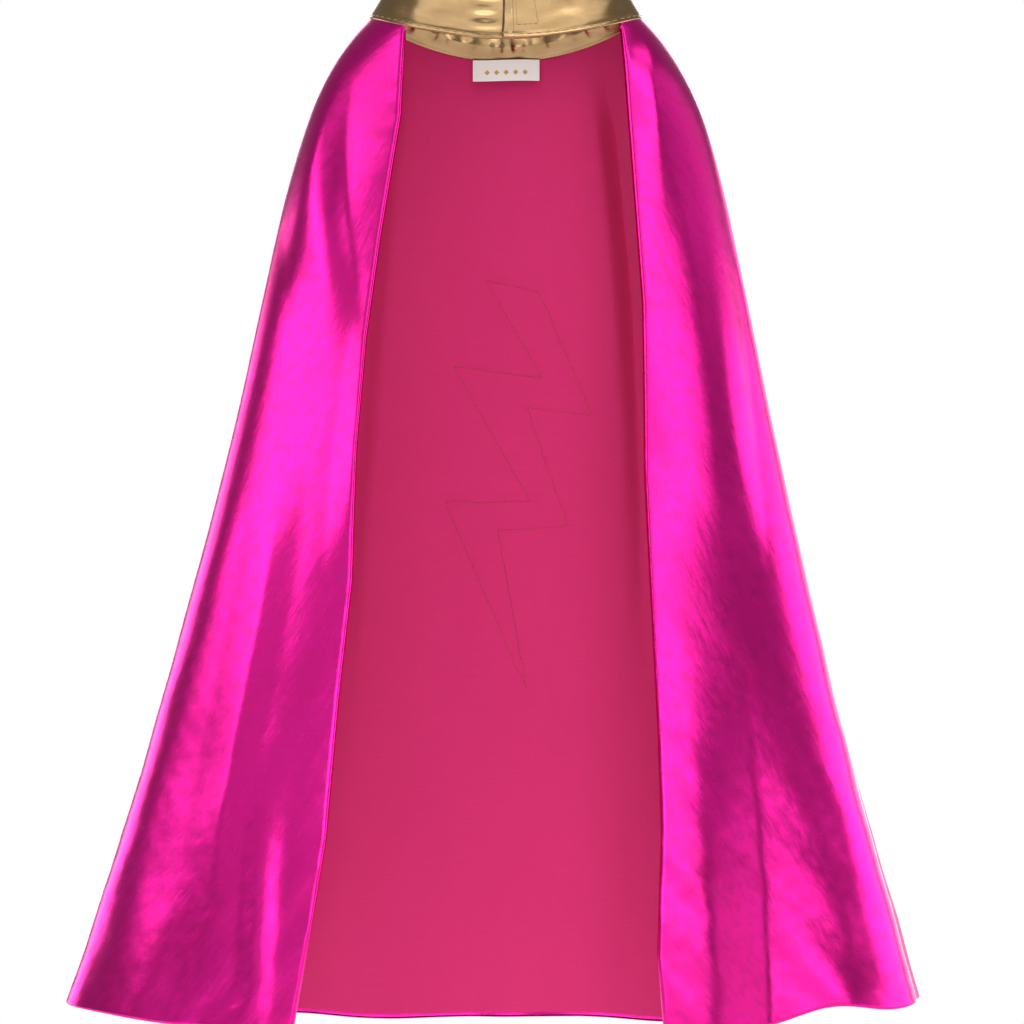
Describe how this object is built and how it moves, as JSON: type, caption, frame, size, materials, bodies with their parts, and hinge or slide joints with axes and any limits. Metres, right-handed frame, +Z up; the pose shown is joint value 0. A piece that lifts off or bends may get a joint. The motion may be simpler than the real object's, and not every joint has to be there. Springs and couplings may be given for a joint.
{
  "type": "superhero cape",
  "caption": "Short lined superhero cape with metallic shell, open front panels, gold stand collar closed at the throat, back bolt applique and hanging neck label.",
  "frame": {"origin": "middle of the neck opening, level with the side neck points where the collar joins the cape", "axes": "+Z up along the wearer's neck, -Y towards the open front, +X towards the wearer's left"},
  "size_m": [0.528, 0.1168, 0.663],
  "materials": {
    "shell_foil": "metallic foil on knit, bright magenta",
    "lining_cloth": "matte woven polyester, raspberry pink",
    "collar_foil": "metallic foil on knit, pale gold",
    "interlining_felt": "stiff bonded felt",
    "gold_thread": "polyester thread, semi-gloss",
    "hook_tape": "moulded nylon hooks",
    "loop_tape": "napped nylon loops",
    "bolt_foil": "metallic foil, gold",
    "satin_thread": "dense satin stitch, glossy",
    "lining_thread": "polyester thread, matte",
    "label_satin": "woven damask, soft sheen"
  },
  "bodies": {
    "cape": {"back_shell": "shell_foil", "back_lining": "lining_cloth", "collar_outer": "collar_foil", "collar_facing": "collar_foil", "collar_interlining": "interlining_felt", "collar_topstitch": "gold_thread", "bolt_applique": "bolt_foil", "bolt_satin_stitch": "satin_thread", "bolt_inner_stitch": "lining_thread"},
    "left_panel": {"left_front_shell": "shell_foil", "left_front_lining": "lining_cloth"},
    "right_panel": {"right_front_shell": "shell_foil", "right_front_lining": "lining_cloth"},
    "over_strap": {"over_strap_outer": "collar_foil", "over_strap_facing": "collar_foil", "over_strap_interlining": "interlining_felt", "over_strap_topstitch": "gold_thread", "hook_patch": "hook_tape", "hook_patch_stitch": "gold_thread"},
    "under_strap": {"under_strap_outer": "collar_foil", "under_strap_facing": "collar_foil", "under_strap_interlining": "interlining_felt", "under_strap_topstitch": "gold_thread", "loop_patch": "loop_tape", "loop_patch_stitch": "gold_thread"},
    "label": {"neck_label": "label_satin"}
  },
  "joints": [
    {"name": "left_panel_swing", "type": "hinge", "parent": "cape", "child": "left_panel", "pos_m": [0.0719, -0.02887, -0.00517], "axis": [-0.2413, 0.0143, 0.9703], "range_deg": [0, 150]},
    {"name": "right_panel_swing", "type": "hinge", "parent": "cape", "child": "right_panel", "pos_m": [-0.0629, -0.03543, -0.00798], "axis": [-0.2825, -0.0038, -0.9593], "range_deg": [0, 150]},
    {"name": "over_strap_open", "type": "hinge", "parent": "cape", "child": "over_strap", "pos_m": [0.07121, -0.02867, -0.00548], "axis": [-0.4397, 0.2067, 0.874], "range_deg": [0, 100]},
    {"name": "under_strap_open", "type": "hinge", "parent": "cape", "child": "under_strap", "pos_m": [-0.06212, -0.03515, -0.00823], "axis": [-0.3884, -0.2566, -0.885], "range_deg": [0, 50]},
    {"name": "label_lift", "type": "hinge", "parent": "cape", "child": "label", "pos_m": [0, 0.04483, -0.022], "axis": [-1, 0, 0], "range_deg": [0, 140]}
  ],
  "couplings": [
    {"joint": "under_strap_open", "follows": "over_strap_open", "ratio": 0.5}
  ]
}
